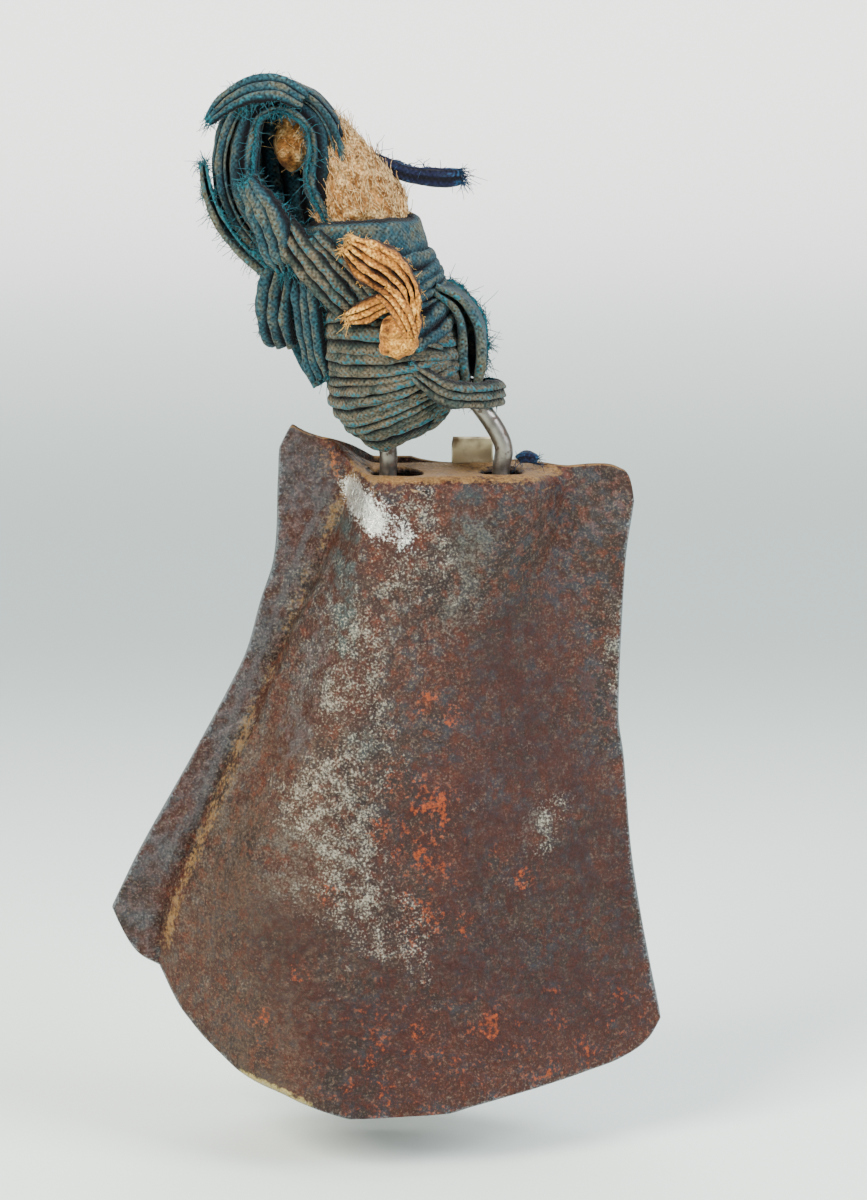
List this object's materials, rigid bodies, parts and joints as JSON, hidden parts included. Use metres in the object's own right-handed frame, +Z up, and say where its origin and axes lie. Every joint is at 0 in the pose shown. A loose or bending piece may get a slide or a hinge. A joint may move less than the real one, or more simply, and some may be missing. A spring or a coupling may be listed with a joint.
{
  "type": "hand bell",
  "caption": "Forged sheet-iron hand bell with a wide side wing, a flat crown, an iron ring handle bound in cotton strips, and a hanging clapper.",
  "frame": {"origin": "on the surface that the bell stands on, under the middle of the whole bell", "axes": "+Z up, +X to the right of someone facing the front, +Y away from them"},
  "size_m": [0.134, 0.0574, 0.248],
  "materials": {
    "rusted_iron": "forged sheet iron, rusted and worn",
    "worn_iron": "iron rod worn smooth by handling",
    "inner_iron": "forged iron, dull brown rust",
    "pale_strap": "pale strap worn smooth",
    "blue_cotton": "indigo-dyed cotton strips, faded and frayed",
    "worn_cotton": "the same cotton, greyed and shiny from the hand",
    "ochre_cotton": "undyed cotton strip, frayed",
    "raw_fibre": "matted buff fibre",
    "dark_rag": "dark blue rolled rag"
  },
  "bodies": {
    "bell": {"front_shell": "rusted_iron", "back_shell": "rusted_iron", "hanger_strap": "pale_strap", "crown_scrap": "dark_rag"},
    "handle": {"bail": "worn_iron", "loop_outer": "blue_cotton", "loop_inner": "blue_cotton", "ochre_knot": "ochre_cotton", "diagonal_strip": "blue_cotton", "side_fold": "blue_cotton", "tie_band": "blue_cotton", "hanging_loop": "blue_cotton", "wing_strip": "blue_cotton", "top_tail": "blue_cotton", "right_tail": "dark_rag", "handle_core": "raw_fibre", "grip_wrap": "worn_cotton", "upper_wrap": "blue_cotton"},
    "clapper_link": {"clapper_link": "inner_iron"},
    "clapper": {"clapper_rod": "inner_iron", "clapper_bob": "inner_iron"}
  },
  "joints": [
    {"name": "bail_swing", "type": "hinge", "parent": "bell", "child": "handle", "pos_m": [0, 0, 0.153], "axis": [1, 0, 0], "range_deg": [-40, 40]},
    {"name": "link_swing", "type": "hinge", "parent": "bell", "child": "clapper_link", "pos_m": [0.02055, 0, 0.135], "axis": [1, 0, 0], "range_deg": [-4, 4]},
    {"name": "clapper_swing", "type": "hinge", "parent": "clapper_link", "child": "clapper", "pos_m": [0.02055, 0, 0.1236], "axis": [0, 1, 0], "range_deg": [-6, 22]}
  ]
}
